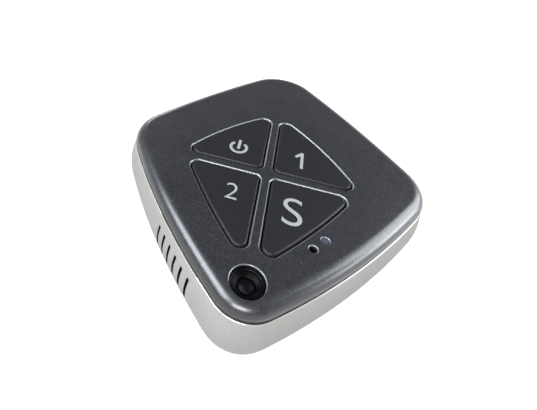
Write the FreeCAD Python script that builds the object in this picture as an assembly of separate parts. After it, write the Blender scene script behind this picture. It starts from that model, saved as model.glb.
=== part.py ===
import FreeCAD, Part
import math
import os

V = FreeCAD.Vector

# Personal tracker: a rounded, diamond-shaped case that lies flat on its base.
# Origin at the middle of the footprint on the base plane, +Z out of the key face,
# +Y to the far corner, +X to the right corner. The camera is at the near corner (-Y).

# Case outline at the parting line, in mm
half_width = 30.0
far_length = 34.8
near_length = 34.8
widest_y = 0.35
side_corner_radius = 9.7
far_corner_radius = 9.9
near_corner_radius = 6.6
far_side_radius = 236.0
near_side_radius = 138.0

# Case heights and walls
case_height = 15.75
cover_height = 2.95
seam_gap = 0.3
floor_thickness = 1.6
cover_thickness = 1.5
case_wall = 1.3
barrel_proud = 1.35
rim_proud = 0.25
rim_chamfer = 0.2
barrel_height = 7.1
base_edge_radius = 2.2
inner_edge_bevel = 0.5
plate_inset = 5.0

# Shoulder of the cover and the lap joint at the seam
shoulder_radius = 1.4
shoulder_angle = 20.0
shoulder_inset = 1.8
lap_depth = 0.75
lap_height = 0.9
lap_clearance = 0.15
lip_thickness = 0.65

# Key field: four triangular keys round an X of bare cover
key_centre_y = -5.45
arm_half_width = 0.95
upper_leg_x = 16.4
lower_leg_x = 15.15
upper_side_radius = 60.0
lower_side_radius = 110.0
key_corner_radius = 1.5
key_tip_radius = 1.7
opening_chamfer = 0.42
key_gap = 0.26
key_bevel = 0.42
key_bevel_depth = 0.4
key_proud = 0.1
key_flange = 0.5
flange_thickness = 0.7
flange_clearance = 0.05
key_travel = 0.4
travel_clearance = 0.12
membrane_thickness = 0.6
membrane_margin = 0.5
pad_height = 0.25
pad_inset = 2.6

# Board and switches
board_depth = 5.65
board_thickness = 1.0
board_clearance = 0.6
switch_size = 4.6
switch_body_height = 1.9
plunger_radius = 1.2
plunger_clearance = 0.1
switch_inset = 4.6

# Camera at the near corner
camera_inset = 4.98
camera_to_keys = 5.47
camera_hole_radius = 2.82
camera_chamfer = 0.25
sleeve_clearance = 0.03
sleeve_depth = 0.7
sleeve_flange_radius = 3.35
sleeve_flange_thickness = 0.65
step_radius = 2.5
step_depth = 0.2
dish_radius = 1.35
dish_depth = 0.55
lens_radius = 1.3
lens_rise = 0.45
lens_thickness = 0.5
barrel_radius = 2.3
camera_body_size = 5.0
camera_body_height = 2.6

# Status light and microphone holes beside the slanted side of the lower right key
side_holes_off = 4.9
light_share = 0.506
mic_share = 0.632
small_hole_radius = 0.65
small_hole_chamfer = 0.27
small_clearance = 0.04
light_flange_radius = 0.9
boot_radius = 0.85
boot_bore_radius = 0.4
chip_height = 0.6
chip_length = 1.6
chip_width = 0.8
mic_size = 2.8
mic_height = 1.0
face_recess = 0.12

# Sound slots in the near left wall and the speaker behind them
slot_count = 6
slot_pitch = 2.28
slot_width = 0.66
slot_height = 5.6
slot_drop = 1.85
slot_start = 1.6
speaker_length = 13.4
speaker_headroom = 1.1
speaker_thickness = 2.6
speaker_lift = 0.1
gasket_thickness = 0.6
gasket_rim = 0.9
cone_depth = 0.7
notch_clearance = 0.6

# Battery on its pad
battery_length = 30.0
battery_width = 26.0
battery_clearance = 0.4
battery_edge_radius = 1.4
battery_y = 0.8
pad_thickness = 0.2
pad_margin = 3.0

# Screws and bosses
screw_side_inset = 6.0
screw_far_inset = 5.0
boss_radius = 2.3
screw_head_radius = 1.5
screw_head_height = 1.1
head_clearance = 0.25
screw_radius = 0.8
thread_clearance = 0.05
shank_clearance = 0.2
pocket_depth = 5.4
bore_roof = 0.6
tip_clearance = 0.3
socket_radius = 0.7
socket_depth = 0.6

# Parts on the board
patch_size = 12.0
patch_thickness = 4.0
patch_to_screw = 9.2
patch_to_keys = 1.65
patch_metal = 0.3
shield_length = 16.0
shield_width = 15.0
shield_height = 1.7
shield_u = 6.0
shield_v = -4.0
holder_length = 13.2
holder_width = 11.0
holder_height = 1.4
holder_wall = 0.25
holder_u = -9.0
holder_v = 5.0
card_length = 12.3
card_width = 8.8
card_thickness = 0.67
connector_length = 5.0
connector_width = 3.2
connector_height = 1.6
connector_u = -6.0
connector_v = -17.5
socket_width = 7.6
socket_length = 5.4
socket_height = 2.6
socket_wall = 0.35
socket_opening_clearance = 0.2
tongue_width = 4.8
tongue_length = 3.6
tongue_thickness = 0.6
motor_radius = 4.0
motor_height = 2.7
motor_u = 0.5
motor_v = -19.3
antenna_thickness = 0.25
antenna_clearance = 0.5
antenna_bottom = 2.6
antenna_length = 26.0
mount_gap = 0.05

# Levels and places that follow from the sizes above
parting_height = case_height - cover_height
inner_roof = case_height - cover_thickness
board_height = inner_roof - board_depth
board_top = board_height + board_thickness
battery_thickness = board_height - shield_height - battery_clearance - floor_thickness - pad_thickness
slot_bottom = parting_height - slot_drop - slot_height
speaker_bottom = floor_thickness + inner_edge_bevel + speaker_lift
speaker_height = parting_height - lap_height - speaker_headroom - speaker_bottom
antenna_width = board_height - antenna_clearance - antenna_bottom
flange_top = inner_roof - flange_clearance
flange_bottom = flange_top - flange_thickness
pad_top = flange_bottom - key_travel - travel_clearance
membrane_top = pad_top - pad_height
membrane_bottom = membrane_top - membrane_thickness
skirt_bottom = parting_height + seam_gap
screw_x = half_width - screw_side_inset
screw_far_y = far_length - screw_far_inset
patch_y = screw_far_y - patch_to_screw
camera_y = camera_inset - near_length
upper_leg_y = patch_y - patch_size / 2 - patch_to_keys - key_centre_y
lower_leg_y = key_centre_y - camera_y - camera_to_keys
bore_top = inner_roof - bore_roof
root_half = math.sqrt(0.5)


def unit(v):
    return v.multiply(1.0 / v.Length)


def arc_centre(c1, r1, c2, r2, bulge):
    """Centre of the large arc that touches two corner circles from outside of both."""
    a, b = bulge - r1, bulge - r2
    d = c2.sub(c1)
    gap = d.Length
    t = (a * a - b * b + gap * gap) / (2 * gap)
    u = unit(V(d))
    inward = V(-u.y, u.x, 0)
    return c1 + u * t + inward * math.sqrt(a * a - t * t)


def contour_arcs(corners, bulges):
    """Tangent points of a closed outline: corner circles in counter-clockwise order,
    each joined to the next by a large arc, or by a straight line where bulge is 0."""
    sides = []
    for i, (c1, r1) in enumerate(corners):
        c2, r2 = corners[(i + 1) % len(corners)]
        bulge = bulges[i]
        if bulge:
            centre = arc_centre(c1, r1, c2, r2, bulge)
            start = unit(c1.sub(centre))
            end = unit(c2.sub(centre))
            sides.append((centre, bulge, start, end))
            continue
        d = c2.sub(c1)
        u = unit(V(d))
        lean = (r1 - r2) / d.Length
        normal = u * lean + V(u.y, -u.x, 0) * math.sqrt(1 - lean * lean)
        sides.append((None, 0, normal, normal))
    return sides


def contour(corners, bulges, grow, z):
    """Closed wire of the outline, moved outwards by grow, at height z."""
    lift = V(0, 0, z)
    sides = contour_arcs(corners, bulges)
    edges = []
    for i, (c, r) in enumerate(corners):
        into, out = sides[i - 1][3], sides[i][2]
        size = r + grow
        mid = unit(into + out)
        edges.append(Part.Arc(c + into * size + lift, c + mid * size + lift, c + out * size + lift).toShape())
        centre, bulge, start, end = sides[i]
        c2, r2 = corners[(i + 1) % len(corners)]
        if bulge:
            reach = bulge + grow
            half = unit(start + end)
            edges.append(Part.Arc(centre + start * reach + lift, centre + half * reach + lift,
                                  centre + end * reach + lift).toShape())
        else:
            edges.append(Part.makeLine(c + out * size + lift, c2 + end * (r2 + grow) + lift))
    return Part.Wire(edges)


def prism(corners, bulges, grow, z0, z1):
    return Part.Face(contour(corners, bulges, grow, z0)).extrude(V(0, 0, z1 - z0))


def bevel(corners, bulges, grow0, z0, grow1, z1):
    """Solid between two parallel outlines at two heights, with straight sloping sides."""
    wires = [contour(corners, bulges, grow0, z0), contour(corners, bulges, grow1, z1)]
    return Part.makeLoft(wires, True, True)


def case_outline():
    corners = [
        (V(half_width - side_corner_radius, widest_y, 0), side_corner_radius),
        (V(0, far_length - far_corner_radius, 0), far_corner_radius),
        (V(side_corner_radius - half_width, widest_y, 0), side_corner_radius),
        (V(0, near_corner_radius - near_length, 0), near_corner_radius),
    ]
    return corners, [far_side_radius, far_side_radius, near_side_radius, near_side_radius]


def swept_ring(profile):
    """Sweeps a wall section, made in the XZ plane with X measured outwards from the
    outline, round the whole case: one turned piece for each arc of the outline."""
    corners, bulges = case_outline()
    sides = contour_arcs(corners, bulges)
    arcs = []
    for i, (c, r) in enumerate(corners):
        arcs.append((c, r, sides[i - 1][3], sides[i][2]))
        centre, bulge, start, end = sides[i]
        arcs.append((centre, bulge, start, end))
    pieces = []
    for centre, radius, start, end in arcs:
        first = math.degrees(math.atan2(start.y, start.x))
        turn = (math.degrees(math.atan2(end.y, end.x)) - first) % 360
        section = profile.copy()
        section.translate(V(radius, 0, 0))
        section.rotate(V(0, 0, 0), V(0, 0, 1), first)
        section.translate(centre)
        pieces.append(section.revolve(centre, V(0, 0, 1), turn))
    return pieces[0].multiFuse(pieces[1:])


def section_face(edges):
    return Part.Face(Part.Wire(edges))


def line(x0, z0, x1, z1):
    return Part.makeLine(V(x0, 0, z0), V(x1, 0, z1))


def curve(x0, z0, xm, zm, x1, z1):
    return Part.Arc(V(x0, 0, z0), V(xm, 0, zm), V(x1, 0, z1)).toShape()


def box(x0, x1, y0, y1, z0, z1):
    return Part.makeBox(x1 - x0, y1 - y0, z1 - z0, V(x0, y0, z0))


def rod(x, y, radius, z0, z1):
    return Part.makeCylinder(radius, z1 - z0, V(x, y, z0))


def cone(x, y, r0, z0, r1, z1):
    return Part.makeCone(r0, r1, z1 - z0, V(x, y, z0))


def one_solid(shape):
    """The single solid of a finished cut or fuse, with its split faces joined."""
    shape = shape.removeSplitter()
    return shape.Solids[0] if len(shape.Solids) == 1 else shape


def uv_point(u, v):
    """A point in the board's own axes: u to the far right side, v to the far left side."""
    return V((u - v) * root_half, (u + v) * root_half, 0)


def uv_box(u, v, length, width, z0, z1, edge_radius=0.0):
    """A box along the case's sides, with length along u and width along v."""
    shape = box(-length / 2, length / 2, -width / 2, width / 2, z0, z1)
    if edge_radius:
        shape = shape.makeFillet(edge_radius, [e for e in shape.Edges if e.BoundBox.XLength > length - 0.01])
    shape.rotate(V(0, 0, 0), V(0, 0, 1), 45)
    shape.translate(uv_point(u, v))
    return shape


def key_corners(side_x, side_y):
    """Corner circles of one key opening. side_x and side_y are 1 or -1 and say which of
    the four keys it is."""
    leg_x = upper_leg_x if side_y > 0 else lower_leg_x
    leg_y = upper_leg_y if side_y > 0 else lower_leg_y
    inner = arm_half_width + key_corner_radius
    tip = arm_half_width + key_tip_radius
    places = [
        (V(inner, inner, 0), key_corner_radius),
        (V(leg_x - key_tip_radius, tip, 0), key_tip_radius),
        (V(tip, leg_y - key_tip_radius, 0), key_tip_radius),
    ]
    side = upper_side_radius if side_y > 0 else lower_side_radius
    bulges = [0, side, 0]
    corners = [(V(p.x * side_x, p.y * side_y + key_centre_y, 0), r) for p, r in places]
    if side_x * side_y < 0:
        corners = [corners[0], corners[2], corners[1]]
    return corners, bulges


def beside_key(share):
    """A place off the slanted side of the lower right key, at a share of its length."""
    side = V(-lower_leg_x, -lower_leg_y, 0)
    off = unit(V(lower_leg_y, -lower_leg_x, 0)) * side_holes_off
    return V(lower_leg_x, key_centre_y, 0) + side * share + off


key_sides = {"power_key": (-1, 1), "one_key": (1, 1), "two_key": (-1, -1), "sos_key": (1, -1)}
screw_places = [(screw_x, widest_y), (-screw_x, widest_y), (0.0, screw_far_y)]
light_x, light_y = beside_key(light_share)[:2]
mic_x, mic_y = beside_key(mic_share)[:2]


def slot_frame():
    """Centre and angle of the near left wall's arc, at the middle of the slot group."""
    corners, bulges = case_outline()
    centre, radius, start, end = contour_arcs(corners, bulges)[2]
    middle = unit(start + end)
    middle_angle = math.degrees(math.atan2(middle.y, middle.x))
    group = slot_start + slot_pitch * (slot_count - 1) / 2
    return centre, radius, middle_angle + math.degrees(group / radius)


def on_slot_wall(shape, along=0.0):
    """Moves a shape made at the origin, with X outwards from the outline and Y along the
    wall to the near corner, to the near left wall at the slot group."""
    centre, radius, angle = slot_frame()
    placed = shape.copy()
    placed.translate(V(radius, 0, 0))
    placed.rotate(V(0, 0, 0), V(0, 0, 1), angle + math.degrees(along / radius))
    placed.translate(centre)
    return placed


def on_socket_wall(shape):
    """Moves a shape made at the origin, with X outwards, to the middle of the far right wall."""
    corners, bulges = case_outline()
    centre, radius, start, end = contour_arcs(corners, bulges)[0]
    middle = unit(start + end)
    placed = shape.copy()
    placed.translate(V(radius, 0, 0))
    placed.rotate(V(0, 0, 0), V(0, 0, 1), math.degrees(math.atan2(middle.y, middle.x)))
    placed.translate(centre)
    return placed


def slot_cutter():
    depth = case_wall + barrel_proud + 1.0
    cutter = box(-case_wall - 0.5, depth, -slot_width / 2, slot_width / 2, slot_bottom, slot_bottom + slot_height)
    upright = [e for e in cutter.Edges if abs(e.tangentAt(e.FirstParameter).x) > 0.9]
    return cutter.makeFillet(slot_width * 0.4, upright)


def socket_opening():
    """Opening for a plug in the far right wall, with rounded corners."""
    half = socket_width / 2 + socket_opening_clearance
    cutter = box(-case_wall - 1.0, barrel_proud + 1.0, -half, half, board_top - socket_opening_clearance,
                 board_top + socket_height + socket_opening_clearance)
    along = [e for e in cutter.Edges if abs(e.tangentAt(e.FirstParameter).x) > 0.9]
    return cutter.makeFillet(0.8, along)


def lower_wall_section():
    """Barrel-shaped side wall with a rolled base edge, a polished rim and an inner lip."""
    rise = parting_height - rim_chamfer - barrel_height
    drop = barrel_proud - rim_proud
    barrel = (rise * rise + drop * drop) / (2 * drop)
    cx = barrel_proud - barrel
    reach = barrel - base_edge_radius
    ex = cx + math.sqrt(reach ** 2 - (barrel_height - base_edge_radius) ** 2)
    tx = cx + (ex - cx) * barrel / reach
    tz = barrel_height + (base_edge_radius - barrel_height) * barrel / reach
    low = math.atan2(base_edge_radius - barrel_height, ex - cx)
    top = math.atan2(rise, rim_proud - cx)
    mid = (low + top) / 2
    roll = (low - math.pi / 2) / 2
    lip_out = -lap_depth - lap_clearance
    lip_in = lip_out - lip_thickness
    lip_top = parting_height + lap_height
    shelf = parting_height - lap_height
    foot = floor_thickness
    wall_in = -case_wall
    ir = inner_edge_bevel
    return section_face([
        line(-plate_inset, 0, ex, 0),
        curve(ex, 0, ex + base_edge_radius * math.cos(roll), base_edge_radius * (1 + math.sin(roll)), tx, tz),
        curve(tx, tz, cx + barrel * math.cos(mid), barrel_height + barrel * math.sin(mid),
              rim_proud, parting_height - rim_chamfer),
        line(rim_proud, parting_height - rim_chamfer, rim_proud - rim_chamfer, parting_height),
        line(rim_proud - rim_chamfer, parting_height, lip_out, parting_height),
        line(lip_out, parting_height, lip_out, lip_top),
        line(lip_out, lip_top, lip_in, lip_top),
        line(lip_in, lip_top, lip_in, shelf),
        line(lip_in, shelf, wall_in, shelf - (wall_in - lip_in)),
        line(wall_in, shelf - (wall_in - lip_in), wall_in, foot + ir),
        line(wall_in, foot + ir, wall_in - ir, foot),
        line(wall_in - ir, foot, -plate_inset, foot),
        line(-plate_inset, foot, -plate_inset, 0),
    ])


def cover_wall_section():
    """Skirt, shoulder and edge of the top, with the rebate that laps over the lip."""
    lean = math.radians(shoulder_angle)
    knee_x = -shoulder_radius * (1 - math.sin(lean))
    crown = (knee_x + shoulder_inset) / math.sin(lean)
    knee_z = case_height - crown * (1 - math.cos(lean))
    skirt_top = knee_z - shoulder_radius * math.cos(lean)
    half = (math.pi / 2 - lean) / 2
    mid_x = -shoulder_radius * (1 - math.cos(half))
    mid_z = skirt_top + shoulder_radius * math.sin(half)
    soft_x = -shoulder_inset + crown * math.sin(lean / 2)
    soft_z = case_height - crown * (1 - math.cos(lean / 2))
    rebate_top = skirt_bottom + lap_height
    return section_face([
        line(0, skirt_bottom, 0, skirt_top),
        curve(0, skirt_top, mid_x, mid_z, knee_x, knee_z),
        curve(knee_x, knee_z, soft_x, soft_z, -shoulder_inset, case_height),
        line(-shoulder_inset, case_height, -plate_inset, case_height),
        line(-plate_inset, case_height, -plate_inset, inner_roof),
        line(-plate_inset, inner_roof, -cover_thickness, inner_roof),
        line(-cover_thickness, inner_roof, -cover_thickness, rebate_top),
        line(-cover_thickness, rebate_top, -lap_depth, rebate_top),
        line(-lap_depth, rebate_top, -lap_depth, skirt_bottom),
        line(-lap_depth, skirt_bottom, 0, skirt_bottom),
    ])


def make_lower_case():
    corners, bulges = case_outline()
    floor = prism(corners, bulges, -plate_inset, 0, floor_thickness)
    shell = swept_ring(lower_wall_section()).fuse(floor)
    bosses = [rod(x, y, boss_radius, floor_thickness - 0.5, board_height) for x, y in screw_places]
    shell = shell.multiFuse(bosses)
    cutters = []
    for x, y in screw_places:
        cutters.append(rod(x, y, screw_head_radius + head_clearance, 0, pocket_depth))
        cutters.append(rod(x, y, screw_radius + shank_clearance, pocket_depth, board_height))
    slot = slot_cutter()
    first = -slot_pitch * (slot_count - 1) / 2
    for i in range(slot_count):
        cutters.append(on_slot_wall(slot, first + i * slot_pitch))
    cutters.append(on_socket_wall(socket_opening()))
    for cutter in cutters:
        shell = shell.cut(cutter)
    return one_solid(shell)


def opening_edges(cover):
    """Edges of the key openings in the face, which are the inner loops of its flat top."""
    tops = [f for f in cover.Faces if f.BoundBox.ZLength < 0.01 and abs(f.BoundBox.ZMax - case_height) < 0.01]
    top = max(tops, key=lambda f: f.Area)
    return [e for w in top.Wires if not w.isSame(top.OuterWire) for e in w.Edges]


def make_top_cover():
    corners, bulges = case_outline()
    plate = prism(corners, bulges, -plate_inset, inner_roof, case_height)
    cover = swept_ring(cover_wall_section()).fuse(plate)
    bosses = [rod(x, y, boss_radius, board_top + mount_gap, inner_roof + 0.5) for x, y in screw_places]
    cover = cover.multiFuse(bosses)
    cutters = [rod(x, y, screw_radius + thread_clearance, board_top, bore_top) for x, y in screw_places]
    for side_x, side_y in key_sides.values():
        shape, sides = key_corners(side_x, side_y)
        cutters.append(prism(shape, sides, 0, inner_roof - 1, case_height + 1))
    for cutter in cutters:
        cover = cover.cut(cutter)
    cover = one_solid(cover)
    cover = cover.makeChamfer(opening_chamfer, opening_edges(cover))
    cutters = []
    for x, y, r, chamfer in ((0, camera_y, camera_hole_radius, camera_chamfer),
                             (light_x, light_y, small_hole_radius, small_hole_chamfer),
                             (mic_x, mic_y, small_hole_radius, small_hole_chamfer)):
        cutters.append(rod(x, y, r, inner_roof - 1, case_height + 1))
        cutters.append(cone(x, y, r, case_height - chamfer, r + chamfer, case_height))
    for cutter in cutters:
        cover = cover.cut(cutter)
    return one_solid(cover)


def make_key(side_x, side_y):
    """A moulded key: bevelled cap in its opening and a flange that holds it under the cover."""
    shape, sides = key_corners(side_x, side_y)
    top = case_height + key_proud
    cap = prism(shape, sides, -key_gap, flange_top, top - key_bevel_depth)
    edge = bevel(shape, sides, -key_gap, top - key_bevel_depth, -key_gap - key_bevel, top)
    flange = prism(shape, sides, key_flange, flange_bottom, flange_top)
    return one_solid(flange.multiFuse([cap, edge]))


def make_membrane():
    """Soft sheet under all four keys with one raised pad for each."""
    sheets, pads = [], []
    for side_x, side_y in key_sides.values():
        shape = key_corners(side_x, side_y)[0]
        sheets.append(prism(shape, [0, 0, 0], membrane_margin, membrane_bottom, membrane_top))
        x, y = switch_place(side_x, side_y)
        pads.append(rod(x, y, pad_inset, membrane_top - membrane_thickness / 2, pad_top))
    return one_solid(sheets[0].multiFuse(sheets[1:] + pads))


def switch_place(side_x, side_y):
    reach = arm_half_width + switch_inset
    return side_x * reach, key_centre_y + side_y * reach


def make_switches():
    """Four push switches, one under each key, each with its round plunger."""
    switches = []
    half = switch_size / 2
    for side_x, side_y in key_sides.values():
        x, y = switch_place(side_x, side_y)
        body = box(x - half, x + half, y - half, y + half, board_top, board_top + switch_body_height)
        body = body.makeChamfer(0.3, [e for e in body.Edges if e.BoundBox.ZLength > 1])
        plunger = rod(x, y, plunger_radius, board_top + switch_body_height - 0.5,
                      membrane_bottom - plunger_clearance)
        switches.append(one_solid(body.fuse(plunger)))
    return Part.makeCompound(switches)


def make_board():
    """Circuit board in the case's outline, with a notch for the speaker and screw holes."""
    corners, bulges = case_outline()
    board = prism(corners, bulges, -case_wall - board_clearance, board_height, board_top)
    half = speaker_length / 2 + notch_clearance
    inner = -case_wall - gasket_thickness - speaker_thickness - notch_clearance
    notch = on_slot_wall(box(inner, 2, -half, half, board_height - 1, board_top + 1))
    board = board.cut(notch)
    for x, y in screw_places:
        board = board.cut(rod(x, y, screw_radius + shank_clearance, board_height - 1, board_top + 1))
    return one_solid(board)


def make_camera_bezel():
    """Black stepped sleeve in the camera hole: a top ring, a step, and a dish round the lens."""
    radius = camera_hole_radius - sleeve_clearance
    top = case_height - sleeve_depth
    step = top - step_depth
    dish = step - dish_depth
    flange = rod(0, camera_y, sleeve_flange_radius, inner_roof - mount_gap - sleeve_flange_thickness,
                 inner_roof - mount_gap)
    sleeve = flange.fuse(rod(0, camera_y, radius, inner_roof - mount_gap - sleeve_flange_thickness, top))
    sleeve = sleeve.cut(rod(0, camera_y, step_radius, step, top))
    sleeve = sleeve.cut(cone(0, camera_y, dish_radius, dish, step_radius - 0.15, step))
    sleeve = sleeve.cut(rod(0, camera_y, dish_radius, dish - 2, dish))
    return one_solid(sleeve)


def lens_levels():
    dish = case_height - sleeve_depth - step_depth - dish_depth
    return dish - lens_thickness, dish


def make_camera_lens():
    """Front lens: a short cylinder with a domed face."""
    bottom, rim = lens_levels()
    body = rod(0, camera_y, lens_radius, bottom, rim)
    ball = (lens_radius ** 2 + lens_rise ** 2) / (2 * lens_rise)
    sphere = Part.makeSphere(ball, V(0, camera_y, rim + lens_rise - ball))
    dome = sphere.common(rod(0, camera_y, lens_radius, rim, rim + lens_rise + 1))
    return one_solid(body.fuse(dome))


def make_camera_barrel():
    bottom, rim = lens_levels()
    base = board_top + camera_body_height
    seat = inner_roof - mount_gap - sleeve_flange_thickness - mount_gap
    barrel = rod(0, camera_y, barrel_radius, base, min(seat, bottom - mount_gap))
    neck = rod(0, camera_y, lens_radius, base, bottom - mount_gap)
    return one_solid(barrel.fuse(neck))


def make_camera_body():
    half = camera_body_size / 2
    body = box(-half, half, camera_y - half, camera_y + half, board_top, board_top + camera_body_height)
    upright = [e for e in body.Edges if e.BoundBox.ZLength > 1]
    return body.makeChamfer(0.4, upright)


def make_light_pipe():
    """Clear pipe that brings the status light from the board to the face."""
    stem = rod(light_x, light_y, small_hole_radius - small_clearance, board_top + chip_height + 0.2,
               case_height - face_recess)
    collar = rod(light_x, light_y, light_flange_radius, flange_bottom - 0.2, inner_roof - mount_gap)
    return one_solid(stem.fuse(collar))


def make_status_led():
    return box(light_x - chip_length / 2, light_x + chip_length / 2, light_y - chip_width / 2,
               light_y + chip_width / 2, board_top, board_top + chip_height)


def make_microphone():
    half = mic_size / 2
    shift = 0.5
    return box(mic_x - half - shift, mic_x + half - shift, mic_y - half - shift, mic_y + half - shift,
               board_top, board_top + mic_height)


def make_microphone_boot():
    """Rubber tube from the microphone up to its hole in the cover."""
    bottom = board_top + mic_height + mount_gap
    top = inner_roof - mount_gap
    tube = rod(mic_x, mic_y, boot_radius, bottom, top)
    return tube.cut(rod(mic_x, mic_y, boot_bore_radius, bottom - 1, top + 1))


def make_speaker():
    """Box speaker on edge behind the slots, with its cone sunk in the front."""
    front = -case_wall - gasket_thickness - 2 * mount_gap
    half = speaker_length / 2
    body = box(front - speaker_thickness, front, -half, half, speaker_bottom, speaker_bottom + speaker_height)
    body = body.makeFillet(0.5, [e for e in body.Edges if abs(e.tangentAt(e.FirstParameter).x) > 0.9])
    rim = gasket_rim + 0.3
    well = box(front - cone_depth, front + 1, -half + rim, half - rim, speaker_bottom + rim,
               speaker_bottom + speaker_height - rim)
    return on_slot_wall(body.cut(well))


def make_speaker_gasket():
    """Foam frame between the speaker and the wall."""
    back = -case_wall - gasket_thickness - mount_gap
    half = speaker_length / 2
    top = speaker_bottom + speaker_height
    frame = box(back, 0, -half, half, speaker_bottom, top)
    hole = box(back - 1, 1, -half + gasket_rim, half - gasket_rim, speaker_bottom + gasket_rim, top - gasket_rim)
    frame = on_slot_wall(frame.cut(hole))
    corners, bulges = case_outline()
    inside = prism(corners, bulges, -case_wall - mount_gap, 0, case_height)
    return one_solid(frame.common(inside))


def make_battery():
    bottom = floor_thickness + pad_thickness
    shape = uv_box(0, 0, battery_width, battery_length, bottom, bottom + battery_thickness, battery_edge_radius)
    shape.translate(V(0, battery_y, 0))
    return shape


def make_battery_pad():
    shape = uv_box(0, 0, battery_width - 2 * pad_margin, battery_length - 2 * pad_margin, floor_thickness,
                   floor_thickness + pad_thickness)
    shape.translate(V(0, battery_y, 0))
    return shape


def make_battery_connector():
    """White plug housing under the board, beside the battery."""
    z1 = board_height
    body = uv_box(connector_u, connector_v, connector_length, connector_width, z1 - connector_height, z1)
    slot = uv_box(connector_u, connector_v, connector_length - 1.2, connector_width - 1.2,
                  z1 - connector_height - 1, z1 - connector_height + 0.8)
    return body.cut(slot)


def make_patch_antenna():
    """Ceramic block with its metal face on top."""
    half = patch_size / 2
    block = box(-half, half, patch_y - half, patch_y + half, board_top, board_top + patch_thickness)
    block = block.makeChamfer(0.4, [e for e in block.Edges if e.BoundBox.ZLength > 1])
    inset = half - 1.2
    face = box(-inset, inset, patch_y - inset, patch_y + inset, board_top + patch_thickness - 0.2,
               board_top + patch_thickness + patch_metal)
    return one_solid(block.fuse(face))


def make_cell_antenna():
    """Thin strip that lies along the far left wall."""
    corners, bulges = case_outline()
    centre, radius, start, end = contour_arcs(corners, bulges)[1]
    out = radius - case_wall - mount_gap
    middle = unit(start + end)
    half = math.degrees(antenna_length / 2 / radius)
    first = math.degrees(math.atan2(middle.y, middle.x)) - half
    x0, x1 = out - antenna_thickness, out
    z0, z1 = antenna_bottom, antenna_bottom + antenna_width
    strip = section_face([line(x0, z0, x1, z0), line(x1, z0, x1, z1), line(x1, z1, x0, z1), line(x0, z1, x0, z0)])
    strip.rotate(V(0, 0, 0), V(0, 0, 1), first)
    strip.translate(centre)
    return strip.revolve(centre, V(0, 0, 1), 2 * half)


def make_radio_shield():
    z0 = board_height - shield_height
    return uv_box(shield_u, shield_v, shield_length, shield_width, z0, board_height)


def make_card_holder():
    """Folded metal cage under the board, open at one end for the card."""
    z0 = board_height - holder_height
    cage = uv_box(holder_u, holder_v, holder_width, holder_length, z0, board_height)
    room = uv_box(holder_u, holder_v + holder_wall, holder_width - 2 * holder_wall, holder_length,
                  z0 + holder_wall, board_height - holder_wall)
    return cage.cut(room)


def make_card():
    z0 = board_height - holder_height + holder_wall + mount_gap
    return uv_box(holder_u, holder_v + holder_wall, card_width, card_length, z0, z0 + card_thickness)


def make_charging_socket():
    """Metal shell on the board with its mouth in the wall and a tongue inside."""
    front = -case_wall - mount_gap
    half = socket_width / 2
    shell = box(front - socket_length, front, -half, half, board_top, board_top + socket_height)
    shell = shell.makeFillet(0.7, [e for e in shell.Edges if abs(e.tangentAt(e.FirstParameter).x) > 0.9])
    room = box(front - socket_length + socket_wall, front + 1, -half + socket_wall, half - socket_wall,
               board_top + socket_wall, board_top + socket_height - socket_wall)
    middle = board_top + socket_height / 2
    root = front - socket_length + socket_wall - 0.1
    tongue = box(root, root + tongue_length, -tongue_width / 2, tongue_width / 2,
                 middle - tongue_thickness / 2, middle + tongue_thickness / 2)
    return on_socket_wall(one_solid(shell.cut(room).fuse(tongue)))


def make_motor():
    p = uv_point(motor_u, motor_v)
    can = rod(p.x, p.y, motor_radius, floor_thickness, floor_thickness + motor_height)
    return can.makeChamfer(0.3, [can.Edges[0], can.Edges[2]])


def make_screws():
    """Three case screws, driven in from the base through the board into the cover."""
    screws = []
    for x, y in screw_places:
        head_bottom = pocket_depth - screw_head_height
        head = rod(x, y, screw_head_radius, head_bottom, pocket_depth)
        shank = rod(x, y, screw_radius, pocket_depth, bore_top - tip_clearance)
        socket = Part.makePolygon([V(x + socket_radius * math.cos(math.radians(60 * k)),
                                     y + socket_radius * math.sin(math.radians(60 * k)), head_bottom)
                                   for k in range(7)])
        drive = Part.Face(socket).extrude(V(0, 0, socket_depth))
        screws.append(one_solid(head.fuse(shank).cut(drive)))
    return Part.makeCompound(screws)


def main():
    os.makedirs("parts", exist_ok=True)
    nodes = {
        "lower_case": make_lower_case(),
        "top_cover": make_top_cover(),
        "keypad_membrane": make_membrane(),
        "tact_switches": make_switches(),
        "main_board": make_board(),
        "camera_bezel": make_camera_bezel(),
        "camera_lens": make_camera_lens(),
        "camera_barrel": make_camera_barrel(),
        "camera_body": make_camera_body(),
        "light_pipe": make_light_pipe(),
        "status_led": make_status_led(),
        "microphone": make_microphone(),
        "microphone_boot": make_microphone_boot(),
        "speaker": make_speaker(),
        "speaker_gasket": make_speaker_gasket(),
        "battery": make_battery(),
        "battery_pad": make_battery_pad(),
        "battery_connector": make_battery_connector(),
        "patch_antenna": make_patch_antenna(),
        "cell_antenna": make_cell_antenna(),
        "radio_shield": make_radio_shield(),
        "card_holder": make_card_holder(),
        "network_card": make_card(),
        "charging_socket": make_charging_socket(),
        "vibration_motor": make_motor(),
        "case_screws": make_screws(),
    }
    for name, (side_x, side_y) in key_sides.items():
        nodes[name] = make_key(side_x, side_y)
    for name, shape in nodes.items():
        shape.exportStep(os.path.join("parts", name + ".step"))
        print(name, "solids", len(shape.Solids), "valid", shape.isValid(), "volume", round(shape.Volume, 1))


main()
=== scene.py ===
import math

import bmesh
import bpy
from mathutils import Matrix, Vector


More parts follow.
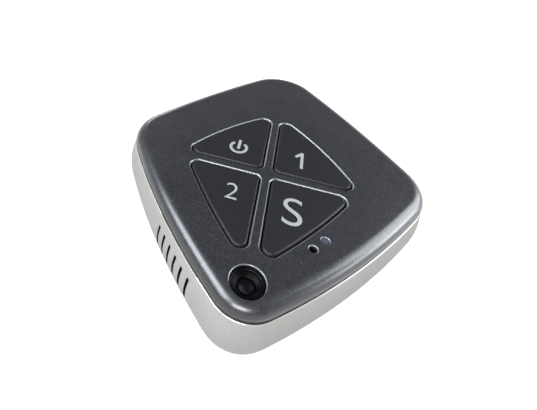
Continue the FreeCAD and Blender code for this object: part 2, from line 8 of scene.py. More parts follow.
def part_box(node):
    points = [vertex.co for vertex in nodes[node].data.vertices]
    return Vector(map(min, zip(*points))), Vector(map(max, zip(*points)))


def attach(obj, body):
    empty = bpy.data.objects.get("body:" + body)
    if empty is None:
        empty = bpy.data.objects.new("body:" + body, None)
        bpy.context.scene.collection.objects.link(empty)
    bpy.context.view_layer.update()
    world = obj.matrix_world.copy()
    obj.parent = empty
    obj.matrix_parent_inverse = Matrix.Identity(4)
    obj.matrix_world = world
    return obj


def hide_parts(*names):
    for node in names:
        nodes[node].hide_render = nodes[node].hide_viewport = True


mm = 0.001
noiseLow, noiseHigh = 0.3, 0.7    # nearly all values of a noise texture lie between these

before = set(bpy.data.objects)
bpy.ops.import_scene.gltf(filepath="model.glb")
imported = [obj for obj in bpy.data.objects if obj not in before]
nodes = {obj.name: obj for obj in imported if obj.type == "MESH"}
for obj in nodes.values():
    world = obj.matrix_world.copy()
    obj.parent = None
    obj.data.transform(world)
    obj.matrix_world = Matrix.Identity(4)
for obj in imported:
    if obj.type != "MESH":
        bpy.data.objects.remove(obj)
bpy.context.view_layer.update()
print("frame loaded:", len(nodes), "nodes")


def hexColour(text):
    # sRGB hex to the linear values that Blender mixes with
    channels = [int(text[i:i + 2], 16) / 255 for i in (0, 2, 4)]
    linear = [c / 12.92 if c <= 0.04045 else ((c + 0.055) / 1.055) ** 2.4 for c in channels]
    return (*linear, 1.0)


def startMaterial(name):
    material = bpy.data.materials.new(name)
    material.use_nodes = True
    tree = material.node_tree
    tree.nodes.clear()
    return material, tree


def addNode(tree, kind, settings=None, links=None):
    # settings are node properties or socket values, links are socket -> (node, output)
    node = tree.nodes.new(kind)
    for key, value in (settings or {}).items():
        if isinstance(key, str) and hasattr(node, key):
            setattr(node, key, value)
        else:
            node.inputs[key].default_value = value
    for key, (source, output) in (links or {}).items():
        tree.links.new(source.outputs[output], node.inputs[key])
    return node


def finishMaterial(tree, shader):
    addNode(tree, "ShaderNodeOutputMaterial", links={"Surface": (shader, 0)})


def paintShop(name, look):
    # sprayed metallic paint on moulded ABS: a soft base colour with fine aluminium flake under a satin clear coat
    # real flake is about 0.03 mm and wouldn't show, so it is drawn as coarse as flakeMm
    material, tree = startMaterial(name)
    place = addNode(tree, "ShaderNodeTexCoord")
    flakes = addNode(tree, "ShaderNodeTexVoronoi", {"Scale": 1 / (look["flakeMm"] * mm), "Randomness": 1.0},
                     {"Vector": (place, "Object")})
    flakeTone = addNode(tree, "ShaderNodeSeparateColor", links={"Color": (flakes, "Color")})
    cloud = addNode(tree, "ShaderNodeTexNoise", {"Scale": 1 / (look["cloudMm"] * mm), "Detail": 3.0},
                    {"Vector": (place, "Object")})
    flakeMix = addNode(tree, "ShaderNodeMapRange", {"From Min": 0.0, "From Max": 1.0, "To Min": 0.0,
                                                    "To Max": look["flakeAmount"]}, {"Value": (flakeTone, "Red")})
    tint = addNode(tree, "ShaderNodeMix", {"data_type": "RGBA", 6: hexColour(look["base"]),
                                           7: hexColour(look["flake"])}, {0: (flakeMix, 0)})
    cloudMix = addNode(tree, "ShaderNodeMapRange", {"From Min": noiseLow, "From Max": noiseHigh, "To Min": 0.0,
                                                    "To Max": look["cloudAmount"]}, {"Value": (cloud, 0)})
    colour = addNode(tree, "ShaderNodeMix", {"data_type": "RGBA", 7: hexColour(look["shade"])},
                     {0: (cloudMix, 0), 6: (tint, 2)})
    if "dust" in look:
        # a few settled specks, one to a cell seen from above
        cells = addNode(tree, "ShaderNodeTexVoronoi", {"voronoi_dimensions": "2D",
                                                       "Scale": 1 / (look["dustCellMm"] * mm)},
                        {"Vector": (place, "Object")})
        reach = look["dustMm"] / look["dustCellMm"]
        speck = addNode(tree, "ShaderNodeMapRange", {"From Min": look["dustCore"] * reach, "From Max": reach,
                                                     "To Min": look["dustAmount"], "To Max": 0.0},
                        {"Value": (cells, "Distance")})
        colour = addNode(tree, "ShaderNodeMix", {"data_type": "RGBA", 7: hexColour(look["dust"])},
                         {0: (speck, 0), 6: (colour, 2)})
    rough = addNode(tree, "ShaderNodeMapRange", {"From Min": 0.0, "From Max": 1.0, "To Min": look["roughness"][0],
                                                 "To Max": look["roughness"][1]}, {"Value": (flakeTone, "Green")})
    bump = addNode(tree, "ShaderNodeBump", {"Strength": look["bump"], "Distance": look["bumpMm"] * mm},
                   {"Height": (flakes, "Distance")})
    if "paintedLightAndShade" in look:
        colour = addPaintedBevelLightAndShade(tree, place, colour, look["paintedLightAndShade"])
    shader = addNode(tree, "ShaderNodeBsdfPrincipled",
                     {"Metallic": look["metallic"], "IOR": look.get("ior", 1.5), "Coat Weight": look["coat"],
                      "Coat Roughness": look["coatRoughness"], "Specular Tint": hexColour(look["edgeTint"])},
                     {"Base Color": (colour, 2), "Roughness": (rough, 0), "Normal": (bump, 0)})
    tree.links.new(bump.outputs[0], shader.inputs["Coat Normal"])
    if "rim" in look:
        shader = addRimAndLip(tree, place, shader, look)
    finishMaterial(tree, shader)
    return material


def addPaintedBevelLightAndShade(tree, place, colour, paintedLightAndShade):
    # painted highlight: the small bevels of the openings, inside the face, are drawn in a lighter colour
    normal = addNode(tree, "ShaderNodeSeparateXYZ", links={"Vector": (place, "Normal")})
    slanted = addNode(tree, "ShaderNodeMapRange", {"From Min": paintedLightAndShade["normalZ"][0], "From Max": paintedLightAndShade["normalZ"][1],
                                                   "To Min": paintedLightAndShade["amount"], "To Max": 0.0}, {"Value": (normal, "Z")})
    inside = addNode(tree, "ShaderNodeAttribute", {"attribute_name": "insideMm"})
    inner = addNode(tree, "ShaderNodeMath", {"operation": "GREATER_THAN", 1: paintedLightAndShade["insideMm"]}, {0: (inside, "Fac")})
    share = addNode(tree, "ShaderNodeMath", {"operation": "MULTIPLY"}, {0: (slanted, 0), 1: (inner, 0)})
    withPaintedHighlight = addNode(tree, "ShaderNodeMix", {"data_type": "RGBA", 7: hexColour(paintedLightAndShade["colour"])},
                      {0: (share, 0), 6: (colour, 2)})
    # painted shade: the upright faces, the skirt above the seam and the walls of the openings, are drawn darker
    upright = addNode(tree, "ShaderNodeMapRange", {"From Min": paintedLightAndShade["uprightZ"][0], "From Max": paintedLightAndShade["uprightZ"][1],
                                                   "To Min": paintedLightAndShade["uprightAmount"], "To Max": 0.0},
                      {"Value": (normal, "Z")})
    return addNode(tree, "ShaderNodeMix", {"data_type": "RGBA", 7: hexColour(paintedLightAndShade["upright"])},
                   {0: (upright, 0), 6: (withPaintedHighlight, 2)})


def addRimAndLip(tree, place, paint, look):
    # the rim under the seam is cut bright; the ledge and lip above it are black, all by height: bare ABS on the lip,
    # and painted shade for the dark line of the seam on the ledge
    height = addNode(tree, "ShaderNodeSeparateXYZ", links={"Vector": (place, "Object")})
    polished = addNode(tree, "ShaderNodeBsdfPrincipled", {"Base Color": hexColour(look["rim"]["colour"]),
                                                          "Metallic": look["rim"]["metallic"],
                                                          "Roughness": look["rim"]["roughness"]})
    bare = addNode(tree, "ShaderNodeBsdfPrincipled", {"Base Color": hexColour(look["bare"]["colour"]),
                                                      "Roughness": look["bare"]["roughness"]})
    layers = paint
    for band, shader in (("rim", polished), ("bare", bare)):
        fromZ, toZ = look[band]["riseMm"]
        share = addNode(tree, "ShaderNodeMapRange", {"From Min": fromZ * mm, "From Max": toZ * mm},
                        {"Value": (height, "Z")})
        layers = addNode(tree, "ShaderNodeMixShader", links={0: (share, 0), 1: (layers, 0), 2: (shader, 0)})
    # the faces near the sound slots that don't face out of the wall are drawn black: painted shade in the slots, with
    # the bare ABS of their cut faces
    slots = look["slots"]
    low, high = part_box("speaker_gasket")
    middle = [(a + b) / 2 for a, b in zip(low, high)]
    fromMiddle = addNode(tree, "ShaderNodeVectorMath", {"operation": "DISTANCE", 1: middle}, {0: (place, "Object")})
    fromCentre = addNode(tree, "ShaderNodeVectorMath", {"operation": "SUBTRACT",
                                                        1: [v * mm for v in slots["wallCentreMm"]]},
                         {0: (place, "Object")})
    outward = addNode(tree, "ShaderNodeVectorMath", {"operation": "NORMALIZE"}, {0: (fromCentre, 0)})
    facing = addNode(tree, "ShaderNodeVectorMath", {"operation": "DOT_PRODUCT"},
                     {0: (outward, 0), 1: (place, "Normal")})
    close = addNode(tree, "ShaderNodeMath", {"operation": "LESS_THAN", 1: slots["reachMm"] * mm},
                    {0: (fromMiddle, "Value")})
    turned = addNode(tree, "ShaderNodeMath", {"operation": "LESS_THAN", 1: slots["facing"]}, {0: (facing, "Value")})
    above = addNode(tree, "ShaderNodeMath", {"operation": "GREATER_THAN", 1: slots["fromMm"] * mm},
                    {0: (height, "Z")})
    cut = addNode(tree, "ShaderNodeMath", {"operation": "MULTIPLY"}, {0: (close, 0), 1: (turned, 0)})
    slotPaintedShade = addNode(tree, "ShaderNodeMath", {"operation": "MULTIPLY"}, {0: (cut, 0), 1: (above, 0)})
    return addNode(tree, "ShaderNodeMixShader", links={0: (slotPaintedShade, 0), 1: (layers, 0), 2: (bare, 0)})


mottleShine = 0.05    # how far the roughness strays to each side of its value


def mottledSurface(name, look):
    # a plain surface with a fine mottle in colour, shine and height, such as the grain of a spark-eroded tool
    # real grain is 0.02 to 0.05 mm and wouldn't show, so it is drawn as coarse as grainMm
    material, tree = startMaterial(name)
    place = addNode(tree, "ShaderNodeTexCoord")
    grain = addNode(tree, "ShaderNodeTexNoise", {"Scale": 1 / (look["grainMm"] * mm), "Detail": 4.0, "Roughness": 0.6},
                    {"Vector": (place, "Object")})
    tone = addNode(tree, "ShaderNodeMapRange", {"From Min": noiseLow, "From Max": noiseHigh, "To Min": 0.0,
                                                "To Max": look["variation"]}, {"Value": (grain, 0)})
    colour = addNode(tree, "ShaderNodeMix", {"data_type": "RGBA", 6: hexColour(look["base"]),
                                             7: hexColour(look["shade"])}, {0: (tone, 0)})
    rough = addNode(tree, "ShaderNodeMapRange", {"From Min": noiseLow, "From Max": noiseHigh,
                                                 "To Min": look["roughness"] - mottleShine,
                                                 "To Max": look["roughness"] + mottleShine}, {"Value": (grain, 0)})
    bump = addNode(tree, "ShaderNodeBump", {"Strength": look["bump"], "Distance": look["bumpMm"] * mm},
                   {"Height": (grain, 0)})
    shader = addNode(tree, "ShaderNodeBsdfPrincipled",
                     {"Metallic": look.get("metallic", 0.0), "IOR": look.get("ior", 1.5)},
                     {"Base Color": (colour, 2), "Roughness": (rough, 0), "Normal": (bump, 0)})
    finishMaterial(tree, shader)
    return material


# ABS sprayed with graphite metallic paint and a clear coat: dark, softly sparkling, with broad satin highlights
graphitePaint = paintShop("Graphite metallic paint on ABS", {
    "base": "232428", "flake": "666871", "shade": "1f2024", "flakeMm": 0.17, "flakeAmount": 0.42,
    "cloudMm": 9.0, "cloudAmount": 0.35, "metallic": 0.35, "ior": 1.8, "roughness": (0.3, 0.4), "bump": 0.1,
    "bumpMm": 0.01, "coat": 1.0, "coatRoughness": 0.24, "edgeTint": "ffffff",
    "dust": "8e9097", "dustCellMm": 11.0, "dustMm": 0.11, "dustCore": 0.6, "dustAmount": 0.7,
    # painted highlight on the bevels of the openings and painted shade on the upright faces
    "paintedLightAndShade": {"colour": "a6a9b1", "amount": 0.86, "normalZ": (0.8, 0.97), "insideMm": 2.9,
              "upright": "0e0e10", "uprightZ": (0.3, 0.82), "uprightAmount": 0.95},
})
# ABS sprayed with pearl silver paint: pale warm grey with a low satin shine, cut bright at the rim
silverPaint = paintShop("Pearl silver paint on ABS", {
    "base": "a9a8a4", "flake": "c6c5c1", "shade": "a09f9b", "flakeMm": 0.18, "flakeAmount": 0.3,
    "cloudMm": 12.0, "cloudAmount": 0.25, "metallic": 0.35, "ior": 1.3, "roughness": (0.32, 0.42), "bump": 0.05,
    "bumpMm": 0.01, "coat": 0.12, "coatRoughness": 0.2, "edgeTint": "b0b0b0",
    "rim": {"colour": "cfccc8", "metallic": 0.55, "roughness": 0.3, "riseMm": (12.58, 12.62)},
    # black from the ledge up and in the sound slots: painted shade for the seam line and the slots, bare ABS on the
    # hidden lip
    "bare": {"colour": "121214", "roughness": 0.5, "riseMm": (12.76, 12.78)},
    "slots": {"wallCentreMm": (87.64, 69.71, 8.0), "reachMm": 9.5, "fromMm": 4.0, "facing": 0.6},
})
# ABS moulded in a spark-eroded tool: near black, matt and faintly mottled
keyPlastic = mottledSurface("Matt moulded ABS key", {
    "base": "1c1c20", "shade": "242429", "variation": 0.6, "grainMm": 0.25, "roughness": 0.45, "bump": 0.2,
    "bumpMm": 0.02,
})
# polycarbonate moulded in a polished tool: an even deep black with a dim shine
blackPlastic = mottledSurface("Black moulded polycarbonate", {
    "base": "040405", "shade": "08080a", "variation": 0.5, "grainMm": 0.4, "roughness": 0.4, "bump": 0.05,
    "bumpMm": 0.01, "ior": 1.2,
})
# silicone rubber, moulded: soft black and dull
blackRubber = mottledSurface("Black silicone rubber", {
    "base": "141415", "shade": "1e1e20", "variation": 0.7, "grainMm": 0.3, "roughness": 0.75, "bump": 0.3,
    "bumpMm": 0.03,
})
# silicone keypad sheet, moulded: mid grey and dull
greySilicone = mottledSurface("Grey moulded silicone", {
    "base": "7c7f82", "shade": "8b8e91", "variation": 0.6, "grainMm": 0.5, "roughness": 0.6, "bump": 0.15,
    "bumpMm": 0.02,
})
# nylon, moulded: warm white with a slight shine
whitePlastic = mottledSurface("White moulded nylon", {
    "base": "dcd9cf", "shade": "cfccc1", "variation": 0.6, "grainMm": 0.4, "roughness": 0.5, "bump": 0.1,
    "bumpMm": 0.02,
})
# glass fibre board under solder mask: glossy green, the weave just showing
solderMask = mottledSurface("Green solder mask on glass fibre board", {
    "base": "14502c", "shade": "1b6438", "variation": 1.0, "grainMm": 1.2, "roughness": 0.35, "bump": 0.3,
    "bumpMm": 0.03,
})
# ceramic, pressed and fired: chalky cream
ceramicTile = mottledSurface("Fired ceramic, unglazed", {
    "base": "bdb39b", "shade": "cbc2ab", "variation": 0.8, "grainMm": 0.6, "roughness": 0.7, "bump": 0.2,
    "bumpMm": 0.02,
})
# steel sheet, tinned and pressed: bright grey metal, slightly clouded
tinnedSteel = mottledSurface("Tinned sheet steel, pressed", {
    "base": "b4b6b8", "shade": "a3a5a8", "variation": 0.8, "grainMm": 0.8, "roughness": 0.3, "bump": 0.1,
    "bumpMm": 0.01, "metallic": 1.0,
})
# aluminium foil laminate, drawn: silvery with light creases
foilPouch = mottledSurface("Laminated aluminium foil pouch", {
    "base": "c4c7ca", "shade": "b3b6ba", "variation": 0.8, "grainMm": 2.5, "roughness": 0.35, "bump": 0.35,
    "bumpMm": 0.08, "metallic": 0.9,
})
# copper etched on polyimide film: warm brown metal
copperFilm = mottledSurface("Copper on polyimide film", {
    "base": "b06a2c", "shade": "c98442", "variation": 0.8, "grainMm": 1.0, "roughness": 0.35, "bump": 0.1,
    "bumpMm": 0.01, "metallic": 0.6,
})
# polycarbonate, smoked and moulded clear: grey with a sharp shine
smokedPipe = mottledSurface("Smoked clear polycarbonate light pipe", {
    "base": "4a4a58", "shade": "5a5a6b", "variation": 0.7, "grainMm": 0.5, "roughness": 0.18, "bump": 0.02,
    "bumpMm": 0.01,
})
# optical glass, ground and coated: almost black with a dim shine
lensGlass = mottledSurface("Coated optical glass", {
    "base": "08090b", "shade": "101116", "variation": 0.5, "grainMm": 1.5, "roughness": 0.4, "bump": 0.0,
    "bumpMm": 0.01, "ior": 1.2,
})
# ink, pad-printed: light grey, flat and slightly uneven
legendInk = mottledSurface("Light grey pad-printed ink", {
    "base": "a9abaf", "shade": "9ea0a5", "variation": 0.6, "grainMm": 0.3, "roughness": 0.55, "bump": 0.1,
    "bumpMm": 0.01,
})

finishes = {
    "top_cover": graphitePaint, "lower_case": silverPaint,
    "power_key": keyPlastic, "one_key": keyPlastic, "two_key": keyPlastic, "sos_key": keyPlastic,
    "keypad_membrane": greySilicone, "tact_switches": tinnedSteel, "main_board": solderMask,
    "camera_bezel": blackPlastic, "camera_lens": lensGlass, "camera_barrel": blackPlastic,
    "camera_body": blackPlastic, "light_pipe": smokedPipe, "status_led": whitePlastic,
    "microphone": tinnedSteel, "microphone_boot": blackRubber, "speaker": blackPlastic,
    "speaker_gasket": blackRubber, "battery": foilPouch, "battery_pad": blackRubber,
    "battery_connector": whitePlastic, "patch_antenna": ceramicTile, "cell_antenna": copperFilm,
    "radio_shield": tinnedSteel, "card_holder": tinnedSteel, "network_card": whitePlastic,
    "charging_socket": tinnedSteel, "vibration_motor": tinnedSteel, "case_screws": tinnedSteel,
}
for name, material in finishes.items():
    slots = nodes[name].data.materials
    slots.clear()
    slots.append(material)
print("materials set on", len(finishes), "nodes")

nearMm = 0.001    # places closer than this count as the same

# the case outline: side arcs as centre and radius, corner arcs as centre, radius and the two sides they join
outline = {
    "sidesMm": ((87.6386, 69.7052, 138.0), (-87.6386, 69.7052, 138.0), (164.6422, -130.0651, 236.0),
                (-164.6422, -130.0651, 236.0)),
    "cornersMm": ((0, -28.2, 6.6, 0, 1), (-20.3, 0.35, 9.7, 0, 2), (20.3, 0.35, 9.7, 1, 3), (0, 24.9, 9.9, 2, 3)),
}


def insideOutline(x, y):
    # how far inside the outline a place lies, and which way is out, all in mm
    for cx, cy, radius, first, second in outline["cornersMm"]:
        u, w = [Vector((cx - sx, cy - sy)).normalized() for sx, sy, r in
                (outline["sidesMm"][first], outline["sidesMm"][second])]
        d = Vector((x - cx, y - cy))
        turn = u.x * w.y - u.y * w.x
        if d.length > nearMm and (d.x * w.y - d.y * w.x) / turn >= 0 and (u.x * d.y - u.y * d.x) / turn >= 0:
            return radius - d.length, d.normalized()
    return min(((r - math.hypot(x - sx, y - sy), Vector((x - sx, y - sy)).normalized()) for sx, sy, r in
                outline["sidesMm"]), key=lambda pair: pair[0])


softEdges = {
    "weldMm": 0.0005, "sharpDegrees": 62, "caseSharpDegrees": 40,
    "rounded": {"top_cover", "lower_case"},    # their long chords are set out onto the outline's arcs
    "weighted": {"camera_bezel"},    # the others keep exact normals on their flats
    "bodies": {"top_cover": "housing", "lower_case": "housing", "camera_bezel": "housing", "power_key": "power_key",
               "one_key": "one_key", "two_key": "two_key", "sos_key": "sos_key"},
}
# a chord is split where it is longer than stepMm, level, no further in than toMm, sags less than sagMm and isn't
# inside a flat
arcs = {"stepMm": 1.2, "levelMm": 0.01, "toMm": 1.95, "sagMm": 0.2, "flatDegrees": 0.5}
# the rounded edge of the face: a quarter ellipse, cut on a grid that is finer near it
shoulder = {"wideMm": 2.4, "deepMm": 2.1, "gridMm": 1.0, "fineGridMm": 0.5, "fineToMm": 2.7}
# which faces lie on the flats and the ellipse: by height, by the face's own normal, and by how well both agree
fit = {"flatMm": 0.001, "ellipseMm": 0.002, "levelZ": 0.999, "flatZ": 0.5, "ellipseZ": 0.05, "agree": 0.85,
       "steepest": 0.9999}


def refineArcs(sheet):
    # long chords that follow the outline are split and their new points set out onto the true arc
    for edge in list(sheet.edges):
        start, end = edge.verts
        length = edge.calc_length() / mm
        if length < arcs["stepMm"] or abs(start.co.z - end.co.z) / mm > arcs["levelMm"]:
            continue
        depths = [insideOutline(v.co.x / mm, v.co.y / mm)[0] for v in (start, end)]
        middle = (start.co + end.co) / 2 / mm
        sag = insideOutline(middle.x, middle.y)[0] - depths[0]
        if abs(depths[0] - depths[1]) > arcs["levelMm"] or depths[0] > arcs["toMm"] or sag > arcs["sagMm"]:
            continue
        if edge.calc_face_angle(0) < math.radians(arcs["flatDegrees"]):
            continue
        parts = math.ceil(length / arcs["stepMm"])
        rest = edge
        for i in range(parts - 1):
            rest, point = bmesh.utils.edge_split(rest, start, 1 / (parts - i))
            rest = [e for e in point.link_edges if end in e.verts][0]
            start = point
            depth, out = insideOutline(point.co.x / mm, point.co.y / mm)
            point.co += (depth - depths[0]) * mm * out.to_3d()


def shoulderDrop(depth):
    # how far the rounded shoulder lies under the flat face, in mm
    share = min(1, max(0, 1 - depth / shoulder["wideMm"]))
    return shoulder["deepMm"] * (1 - math.sqrt(1 - share * share))


def cutGrid(sheet, pool, step):
    # the faces of the pool are cut along lines a step apart, in mm, both ways
    for axis in (0, 1):
        normal = Vector((1, 0, 0)) if axis == 0 else Vector((0, 1, 0))
        places = [v.co[axis] / mm / step for f in pool for v in f.verts]
        for i in range(math.ceil(min(places)), math.floor(max(places)) + 1):
            place = i * step * mm
            faces = [f for f in pool if min(v.co[axis] for v in f.verts) < place < max(v.co[axis] for v in f.verts)]
            if faces:
                edges = {e for f in faces for e in f.edges}
                verts = {v for f in faces for v in f.verts}
                cut = bmesh.ops.bisect_plane(sheet, geom=faces + list(edges) + list(verts), dist=1e-7,
                                             plane_co=normal * place, plane_no=normal)["geom"]
                pool = {f for f in pool if f.is_valid} | {f for f in cut if isinstance(f, bmesh.types.BMFace)}
    return pool


def roundShoulder(sheet, top):
    # the shoulder is a broad ellipse, wider than the plain arcs of the moulding and inside them everywhere
    flat = {f for f in sheet.faces if f.normal.z > fit["levelZ"] and f.verts[0].co.z > top - fit["flatMm"] * mm}
    flat = cutGrid(sheet, flat, shoulder["gridMm"])
    near = {f for f in flat if min(insideOutline(v.co.x / mm, v.co.y / mm)[0] for v in f.verts) < shoulder["fineToMm"]}
    cutGrid(sheet, near, shoulder["fineGridMm"])
    for vertex in sheet.verts:
        depth = insideOutline(vertex.co.x / mm, vertex.co.y / mm)[0]
        vertex.co.z = min(vertex.co.z, top - shoulderDrop(depth) * mm)


def setMouldNormals(mesh, top, rounded):
    # flat faces keep their plain normals to the very edge, the rounded shoulder has those of its ellipse
    normals = [Vector(c.vector) for c in mesh.corner_normals]
    for face in mesh.polygons:
        for corner in face.loop_indices:
            place = mesh.vertices[mesh.loops[corner].vertex_index].co
            depth, out = insideOutline(place.x / mm, place.y / mm)
            offEllipse = abs((place.z - top) / mm + shoulderDrop(depth))
            if rounded and depth < shoulder["wideMm"] and offEllipse < fit["ellipseMm"]:
                share = min(fit["steepest"], 1 - depth / shoulder["wideMm"])
                slope = shoulder["deepMm"] / shoulder["wideMm"] * share / math.sqrt(1 - share * share)
                normal = Vector((out.x * slope, out.y * slope, 1)).normalized()
                if face.normal.z > fit["ellipseZ"] and face.normal.dot(normal) > fit["agree"]:
                    normals[corner] = normal
            elif face.normal.z > fit["flatZ"] and abs(place.z - top) < fit["flatMm"] * mm:
                normals[corner] = Vector((0, 0, 1))
            elif face.normal.z < -fit["flatZ"] and place.z < fit["flatMm"] * mm:
                normals[corner] = Vector((0, 0, -1))
    mesh.normals_split_custom_set(normals)


def softenEdges(name, body):
    # the moulding itself, welded, with its narrow bevels shaded round as a moulded edge is
    mesh = nodes[name].data.copy()
    welded = bmesh.new()
    welded.from_mesh(mesh)
    bmesh.ops.remove_doubles(welded, verts=welded.verts, dist=softEdges["weldMm"] * mm)
    top = max(v.co.z for v in welded.verts)
    if name in softEdges["rounded"]:
        refineArcs(welded)
        bmesh.ops.triangulate(welded, faces=[f for f in welded.faces if len(f.verts) > 3])
    if name == "top_cover":
        roundShoulder(welded, top)
        bmesh.ops.triangulate(welded, faces=[f for f in welded.faces if len(f.verts) > 3])
    for face in welded.faces:
        face.smooth = True
    welded.to_mesh(mesh)
    welded.free()
    limit = softEdges["caseSharpDegrees"] if name == "lower_case" else softEdges["sharpDegrees"]
    mesh.set_sharp_from_angle(angle=math.radians(limit))
    depths = mesh.attributes.new("insideMm", "FLOAT", "POINT")
    for i, vertex in enumerate(mesh.vertices):
        depths.data[i].value = insideOutline(vertex.co.x / mm, vertex.co.y / mm)[0]
    piece = bpy.data.objects.new(name + "_soft", mesh)
    bpy.context.scene.collection.objects.link(piece)
    if name in softEdges["weighted"]:
        weigh = piece.modifiers.new("weighted", "WEIGHTED_NORMAL")
        weigh.keep_sharp = True
    else:
        setMouldNormals(mesh, top, name == "top_cover")
    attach(piece, body)
    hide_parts(name)
    print("softened", name, len(mesh.polygons), "faces")


for name, body in softEdges["bodies"].items():
    softenEdges(name, body)

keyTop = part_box("power_key")[1][2]
inkThickness = 0.03 * mm


def meshFromCurve(name, curve):
    # the mesh of a text or line, its holder taken away again
    holder = bpy.data.objects.new(name + "_outline", curve)
    bpy.context.scene.collection.objects.link(holder)
    mesh = bpy.data.meshes.new_from_object(holder)
    bpy.data.objects.remove(holder)
    return mesh


def inkPiece(name, body, mesh):
    # a printed legend that goes down with its key, its place already in its mesh
    piece = bpy.data.objects.new(name, mesh)
    bpy.context.scene.collection.objects.link(piece)
    mesh.materials.clear()
    mesh.materials.append(legendInk)
    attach(piece, body)


def printedSign(name, body, text, look):
    # a printed figure: font outline turned to a mesh, then scaled to its measured size on the key
    curve = bpy.data.curves.new(name, "FONT")
    curve.body = text
    curve.resolution_u = 8
    curve.extrude = 0.5
    curve.offset = -look["thinner"]
    mesh = meshFromCurve(name, curve)
    low = [min(v.co[i] for v in mesh.vertices) for i in range(3)]
    high = [max(v.co[i] for v in mesh.vertices) for i in range(3)]
    x0, x1, y0, y1 = [value * mm for value in look["box"]]
    scale = Matrix.Diagonal(((x1 - x0) / (high[0] - low[0]), (y1 - y0) / (high[1] - low[1]),
                             inkThickness / (high[2] - low[2]), 1.0))
    mesh.transform(Matrix.Translation((x0, y0, keyTop - inkThickness / 2)) @ scale
                   @ Matrix.Translation([-v for v in low]))
    inkPiece(name, body, mesh)


legends = {
    "two": {"box": (-7.0, -4.6, -14.8, -10.75), "thinner": 0.01},
    "sos": {"box": (3.75, 7.3, -17.05, -10.65), "thinner": 0.006},
}
printedSign("legend_two", "two_key", "2", legends["two"])
printedSign("legend_sos", "sos_key", "S", legends["sos"])

figureOne = {"stem": (6.16, 6.75), "foot": -1.85, "top": 3.15, "flagTip": (4.95, 1.7), "flagLow": (5.25, 1.2),
             "notch": 2.0, "shoulder": 6.25}


def printedOne(look):
    # the figure 1 as a stem with a flag, drawn round once and extruded
    left, right = look["stem"]
    points = [(right, look["foot"]), (right, look["top"]), (look["shoulder"], look["top"]), look["flagTip"],
              look["flagLow"], (left, look["notch"]), (left, look["foot"])]
    sheet = bmesh.new()
    face = sheet.faces.new([sheet.verts.new((x * mm, y * mm, keyTop - inkThickness / 2)) for x, y in points])
    risen = bmesh.ops.extrude_face_region(sheet, geom=[face])["geom"]
    bmesh.ops.translate(sheet, verts=[v for v in risen if isinstance(v, bmesh.types.BMVert)], vec=(0, 0, inkThickness))
    bmesh.ops.recalc_face_normals(sheet, faces=sheet.faces)
    mesh = bpy.data.meshes.new("legend_one")
    sheet.to_mesh(mesh)
    sheet.free()
    inkPiece("legend_one", "one_key", mesh)


printedOne(figureOne)

powerSign = {"centre": (-6.8, 0.2), "radius": 1.68, "stroke": 0.62, "gapDegrees": 78, "steps": 48, "barTop": 2.7,
             "barBottom": -0.3}


def strokePiece(name, body, points, width):
    # a printed stroke with round ends along a line of points, as a thin closed strip
    curve = bpy.data.curves.new(name, "CURVE")
    curve.dimensions = "3D"
    spline = curve.splines.new("POLY")
    spline.points.add(len(points) - 1)
    for point, (x, y) in zip(spline.points, points):
        point.co = (x * mm, y * mm, 0, 1)
    curve.bevel_depth = width * mm / 2
    curve.bevel_resolution = 6
    curve.use_fill_caps = True
    mesh = meshFromCurve(name, curve)
    mesh.transform(Matrix.Translation((0, 0, keyTop)) @ Matrix.Diagonal((1, 1, inkThickness / (width * mm), 1)))
    inkPiece(name, body, mesh)


signX, signY = powerSign["centre"]
gap = powerSign["gapDegrees"]
ringPoints = []
for i in range(powerSign["steps"] + 1):
    angle = math.radians(90 + gap / 2 + (360 - gap) * i / powerSign["steps"])
    ringPoints.append((signX + powerSign["radius"] * math.cos(angle), signY + powerSign["radius"] * math.sin(angle)))
strokePiece("legend_power_ring", "power_key", ringPoints, powerSign["stroke"])
strokePiece("legend_power_bar", "power_key", [(signX, powerSign["barBottom"]), (signX, powerSign["barTop"])],
            powerSign["stroke"])
print("legends printed")

sweepFloor = {
    "halfWidth": 3.0, "underMm": 0.01, "mattSeen": (0.5, 0.5, 0.5, 1), "mattLighting": (0.8, 0.8, 0.8, 1),
    "shadeMm": (32, 110), "shadeGlow": (0.14, 0.42),    # as the case mirrors it, from its edge outwards
    "seenMm": (200, 1000), "seenGlow": (0.66, 1.0),    # as the camera sees it, from the case outwards
}


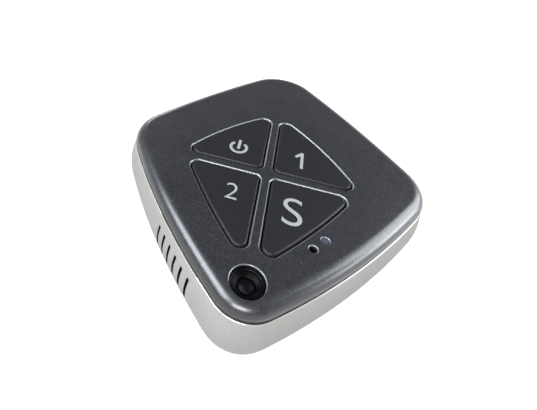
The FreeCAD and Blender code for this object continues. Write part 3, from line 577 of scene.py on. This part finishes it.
def paleFloor():
    # a plain white sweep that keeps the object's shadow
    material, tree = startMaterial("Pale studio sweep")
    rays = addNode(tree, "ShaderNodeLightPath")
    seen = addNode(tree, "ShaderNodeMath", {"operation": "MAXIMUM"},
                   {0: (rays, "Is Camera Ray"), 1: (rays, "Is Glossy Ray")})
    seenAll = addNode(tree, "ShaderNodeMath", {"operation": "MAXIMUM"},
                      {0: (seen, 0), 1: (rays, "Is Transmission Ray")})
    matt = addNode(tree, "ShaderNodeBsdfDiffuse", {"Color": sweepFloor["mattSeen"]})
    # the floor close to the case glows less, a painted shade that the case mirrors
    place = addNode(tree, "ShaderNodeTexCoord")
    away = addNode(tree, "ShaderNodeVectorMath", {"operation": "LENGTH"}, {0: (place, "Object")})
    near, far = sweepFloor["shadeMm"]
    shade = addNode(tree, "ShaderNodeMapRange", {"From Min": near * mm, "From Max": far * mm,
                                                 "To Min": sweepFloor["shadeGlow"][0],
                                                 "To Max": sweepFloor["shadeGlow"][1]}, {"Value": (away, "Value")})
    near, far = sweepFloor["seenMm"]
    sweep = addNode(tree, "ShaderNodeMapRange", {"From Min": near * mm, "From Max": far * mm,
                                                 "To Min": sweepFloor["seenGlow"][0],
                                                 "To Max": sweepFloor["seenGlow"][1]}, {"Value": (away, "Value")})
    level = addNode(tree, "ShaderNodeMapRange", {"From Min": 0.0, "From Max": 1.0},
                    {"Value": (rays, "Is Camera Ray"), "To Min": (shade, 0), "To Max": (sweep, 0)})
    glow = addNode(tree, "ShaderNodeEmission", {"Color": (1, 1, 1, 1)}, {"Strength": (level, 0)})
    both = addNode(tree, "ShaderNodeAddShader", links={0: (matt, 0), 1: (glow, 0)})
    plain = addNode(tree, "ShaderNodeBsdfDiffuse", {"Color": sweepFloor["mattLighting"]})
    shader = addNode(tree, "ShaderNodeMixShader", links={0: (seenAll, 0), 1: (plain, 0), 2: (both, 0)})
    finishMaterial(tree, shader)
    mesh = bpy.data.meshes.new("floor")
    sheet = bmesh.new()
    bmesh.ops.create_grid(sheet, x_segments=1, y_segments=1, size=sweepFloor["halfWidth"],
                          matrix=Matrix.Translation((0, 0, -sweepFloor["underMm"] * mm)))
    sheet.to_mesh(mesh)
    sheet.free()
    floor = bpy.data.objects.new("floor", mesh)
    bpy.context.scene.collection.objects.link(floor)
    mesh.materials.append(material)


paleFloor()

softboxes = {
    "softboxLeft": {"place": (-0.4, -0.17, 0.47), "size": (0.5, 0.32), "power": 4.2, "colour": (0.9, 0.95, 1.0)},
    "softboxRight": {"place": (0.52, 0.23, 0.32), "size": (0.42, 0.42), "power": 2.6, "colour": (0.93, 0.96, 1.0)},
    "softboxNear": {"place": (-0.02, -0.54, 0.45), "size": (0.34, 0.18), "power": 2.8, "colour": (1, 1, 1)},
    "softboxFarLeft": {"place": (-0.34, 0.56, 0.2), "size": (0.16, 0.12), "power": 0.3, "colour": (0.95, 0.97, 1.0)},
    "softboxRightLow": {"place": (0.6, 0.04, 0.13), "size": (0.3, 0.16), "power": 0.8, "colour": (0.93, 0.96, 1.0)},
}


def hangSoftbox(name, look):
    # a rectangular lamp that faces the object
    light = bpy.data.lights.new(name, "AREA")
    light.shape = "RECTANGLE"
    light.size, light.size_y = look["size"]
    light.energy = look["power"]
    light.color = look["colour"]
    lamp = bpy.data.objects.new(name, light)
    lamp.location = look["place"]
    lamp.rotation_euler = (-Vector(look["place"])).to_track_quat("-Z", "Y").to_euler()
    bpy.context.scene.collection.objects.link(lamp)


for name, look in softboxes.items():
    hangSoftbox(name, look)

studio = {"horizon": 0.52, "ceiling": 0.1, "horizonTo": 0.15, "ceilingFrom": 0.5}


def studioWorld():
    # a white sweep all round that falls off to a dim ceiling, plain white to the camera
    world = bpy.data.worlds.new("Studio")
    world.use_nodes = True
    tree = world.node_tree
    tree.nodes.clear()
    place = addNode(tree, "ShaderNodeTexCoord")
    height = addNode(tree, "ShaderNodeSeparateXYZ", links={"Vector": (place, "Generated")})
    sweep = addNode(tree, "ShaderNodeMapRange", {"From Min": studio["horizonTo"], "From Max": studio["ceilingFrom"],
                                                 "To Min": studio["horizon"], "To Max": studio["ceiling"]},
                    {"Value": (height, "Z")})
    rays = addNode(tree, "ShaderNodeLightPath")
    strength = addNode(tree, "ShaderNodeMapRange", {"From Min": 0.0, "From Max": 1.0, "To Max": 1.0},
                       {"Value": (rays, "Is Camera Ray"), "To Min": (sweep, 0)})
    back = addNode(tree, "ShaderNodeBackground", {"Color": (1, 1, 1, 1)}, {"Strength": (strength, 0)})
    addNode(tree, "ShaderNodeOutputWorld", links={"Surface": (back, 0)})
    bpy.context.scene.world = world


studioWorld()

cameraView = {
    "location": (-0.004446, -0.060008, 0.066774), "turnDegrees": (49.3373, -1.9723, 18.7847), "lens": 23.921,
    "shiftX": 0.1877, "shiftY": -0.12, "sensorWidth": 36, "clipStart": 0.001,
}


def placeCamera():
    # from the photograph's side, with as little shift as its framing needs
    data = bpy.data.cameras.new("camera")
    data.sensor_width = cameraView["sensorWidth"]
    data.lens = cameraView["lens"]
    data.shift_x = cameraView["shiftX"]
    data.shift_y = cameraView["shiftY"]
    data.clip_start = cameraView["clipStart"]
    camera = bpy.data.objects.new("camera", data)
    camera.location = cameraView["location"]
    camera.rotation_euler = [math.radians(a) for a in cameraView["turnDegrees"]]
    bpy.context.scene.collection.objects.link(camera)
    bpy.context.scene.camera = camera


placeCamera()
bpy.context.scene.view_settings.view_transform = "Standard"
print("studio set")
